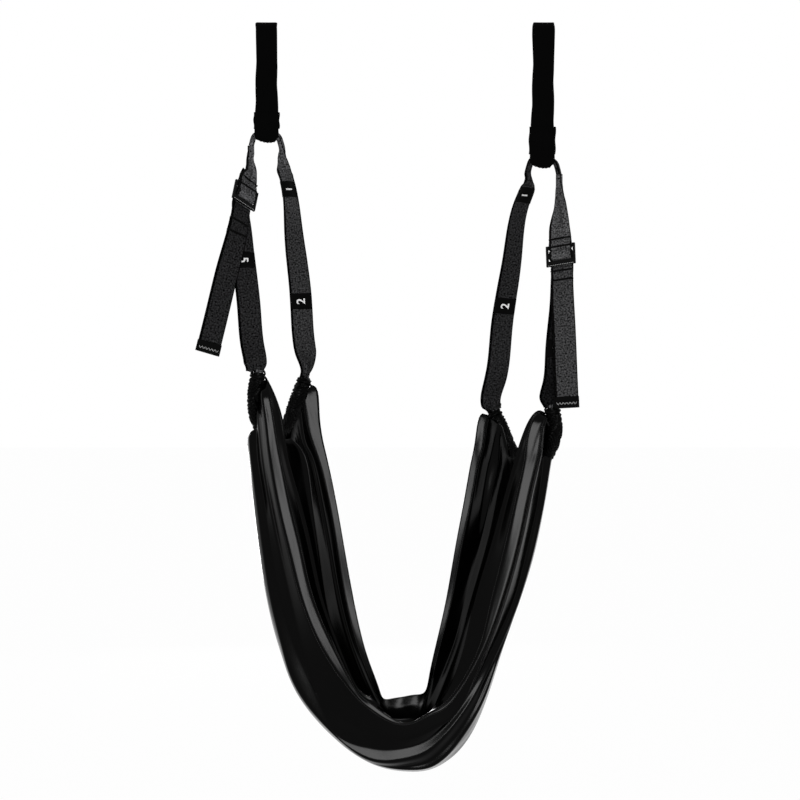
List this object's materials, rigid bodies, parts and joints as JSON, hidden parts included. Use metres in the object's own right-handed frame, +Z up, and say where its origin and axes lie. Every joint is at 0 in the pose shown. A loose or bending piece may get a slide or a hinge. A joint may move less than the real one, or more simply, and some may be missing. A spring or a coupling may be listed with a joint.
{
  "type": "yoga inversion strap",
  "caption": "Fabric sling gathered onto adjustable webbing straps that hang from loops on an overhead bar.",
  "frame": {"origin": "on the axis of the bar that the two hanger loops hang on, midway between the loops", "axes": "+Z up, +X to the right as seen from the front, the front (the side with the free strap ends) towards -Y"},
  "size_m": [0.6108, 0.2515, 1.2334],
  "materials": {
    "hanger_strap": "matte black woven strap",
    "webbing": "charcoal herringbone webbing",
    "label_tape": "black woven label tape",
    "slider_metal": "black coated steel",
    "cloth": "black satin-backed nylon cloth"
  },
  "bodies": {
    "hangers": {"left_hanger": "hanger_strap", "right_hanger": "hanger_strap"},
    "sling": {"left_saddle": "webbing", "left_rear_leg": "webbing", "left_front_leg": "webbing", "left_upper_strap": "webbing", "left_tunnel": "cloth", "left_tunnel_webbing": "webbing", "left_label_1": "label_tape", "left_label_2": "label_tape", "left_label_3": "label_tape", "left_label_4": "label_tape", "left_label_5": "label_tape", "right_saddle": "webbing", "right_rear_leg": "webbing", "right_front_leg": "webbing", "right_upper_strap": "webbing", "right_tunnel": "cloth", "right_tunnel_webbing": "webbing", "right_label_1": "label_tape", "right_label_2": "label_tape", "right_label_3": "label_tape", "right_label_4": "label_tape", "right_label_5": "label_tape", "sling_panel": "cloth", "front_hem": "cloth", "rear_hem": "cloth"},
    "left_adjuster": {"left_slider": "slider_metal", "left_bar_wrap": "webbing"},
    "left_free_end": {"left_tail": "webbing", "left_tail_end": "webbing", "left_label_6": "label_tape"},
    "right_adjuster": {"right_slider": "slider_metal", "right_bar_wrap": "webbing"},
    "right_free_end": {"right_tail": "webbing", "right_tail_end": "webbing", "right_label_6": "label_tape"}
  },
  "joints": [
    {"name": "sling_swing", "type": "hinge", "parent": "hangers", "child": "sling", "pos_m": [0, 0, -0.19], "axis": [0.9958, 0, -0.0915], "range_deg": [-30, 30]},
    {"name": "left_adjuster_slide", "type": "slide", "parent": "sling", "child": "left_adjuster", "axis": [0.0533, -0.2481, -0.9673], "range_m": [-0.03, 0.04], "deforming": ["left_front_leg", "left_upper_strap"]},
    {"name": "left_free_end_swing", "type": "hinge", "parent": "left_adjuster", "child": "left_free_end", "pos_m": [-0.26647, -0.03139, -0.2883], "axis": [-0.6728, -0.6181, 0.4065], "range_deg": [0, 60]},
    {"name": "right_adjuster_slide", "type": "slide", "parent": "sling", "child": "right_adjuster", "axis": [-0.052, -0.2424, -0.9688], "range_m": [-0.05, 0.05], "deforming": ["right_front_leg", "right_upper_strap"]},
    {"name": "right_free_end_swing", "type": "hinge", "parent": "right_adjuster", "child": "right_free_end", "pos_m": [0.25498, -0.04113, -0.3883], "axis": [-0.912, 0.3919, -0.1211], "range_deg": [0, 60]}
  ]
}
